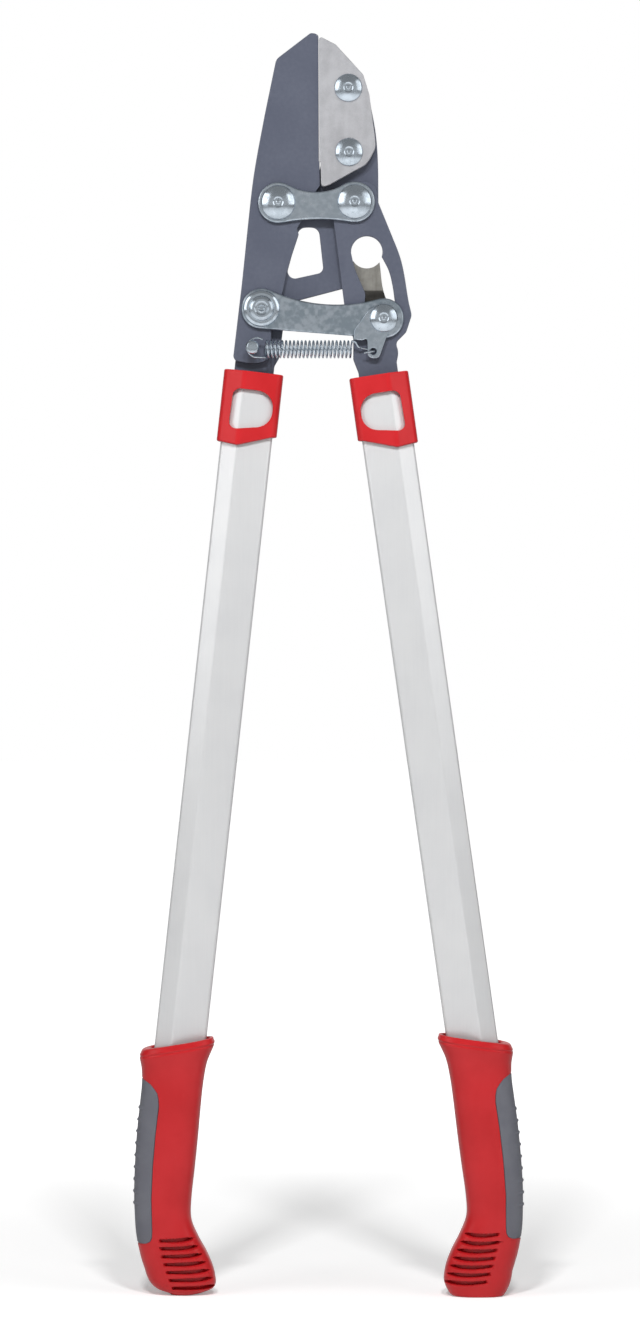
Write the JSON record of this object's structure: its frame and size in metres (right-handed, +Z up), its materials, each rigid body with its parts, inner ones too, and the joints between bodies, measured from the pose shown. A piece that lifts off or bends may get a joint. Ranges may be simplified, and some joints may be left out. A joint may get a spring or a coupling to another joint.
{
  "type": "lopper",
  "caption": "Anvil lopper with a link-driven blade, a return spring, long flat-oval handle tubes, collars and curved two-part grips.",
  "frame": {"origin": "on the floor, under the middle of the closed tool's box, midway between its front and its back", "axes": "+Z up along the tool from the grips to the blade's tip, +X to the right as seen from the front, -Y towards the front, where the bolt heads are"},
  "size_m": [0.2417, 0.0384, 0.7821],
  "materials": {
    "dark_plate": "dark blue-grey satin coat on steel plate",
    "zinc": "bright bluish zinc plate",
    "anvil_alloy": "ground light alloy",
    "bare_steel": "bare brownish steel",
    "handle_aluminium": "pale satin anodised tube",
    "red_plastic": "satin red plastic",
    "grey_rubber": "matt dark grey soft pad",
    "dark_plastic": "black plastic insert inside the tube"
  },
  "bodies": {
    "anvil_arm": {"anvil_arm_plate": "dark_plate", "anvil": "anvil_alloy", "anvil_rivet_upper": "zinc", "anvil_rivet_lower": "zinc", "head_strap": "zinc", "blade_pivot_bolt": "zinc", "blade_pivot_bush": "zinc", "blade_pivot_washer": "zinc", "blade_pivot_nut": "zinc", "lever_pivot_bolt": "zinc", "lever_pivot_bush": "zinc", "lever_pivot_washer": "zinc", "lever_pivot_nut": "zinc", "left_tang_insert": "dark_plastic", "left_handle_tube": "handle_aluminium", "left_collar": "red_plastic", "left_grip": "red_plastic", "left_grip_pad": "grey_rubber"},
    "blade": {"blade_plate": "dark_plate", "link_blade_rivet": "zinc", "spring_post": "zinc"},
    "lever": {"lever_plate": "dark_plate", "stop_plate": "bare_steel", "link_lever_rivet": "zinc", "right_tang_insert": "dark_plastic", "right_handle_tube": "handle_aluminium", "right_collar": "red_plastic", "right_grip": "red_plastic", "right_grip_pad": "grey_rubber"},
    "link": {"link_strap": "zinc", "spring_anchor_plate": "zinc", "return_spring": "zinc"}
  },
  "joints": [
    {"name": "handle_swing", "type": "hinge", "parent": "anvil_arm", "child": "lever", "pos_m": [0.0151, 0, 0.678], "axis": [0, -1, 0], "range_deg": [0, 45]},
    {"name": "blade_swing", "type": "hinge", "parent": "anvil_arm", "child": "blade", "pos_m": [-0.0321, 0, 0.6774], "axis": [0, -1, 0], "range_deg": [0, 44]},
    {"name": "link_swing", "type": "hinge", "parent": "blade", "child": "link", "pos_m": [-0.0423, 0, 0.612], "axis": [0, -1, 0], "range_deg": [-27, 0], "deforming": ["return_spring"]}
  ],
  "couplings": [
    {"joint": "blade_swing", "follows": "handle_swing", "ratio": 0.974},
    {"joint": "link_swing", "follows": "handle_swing", "ratio": -0.59}
  ]
}
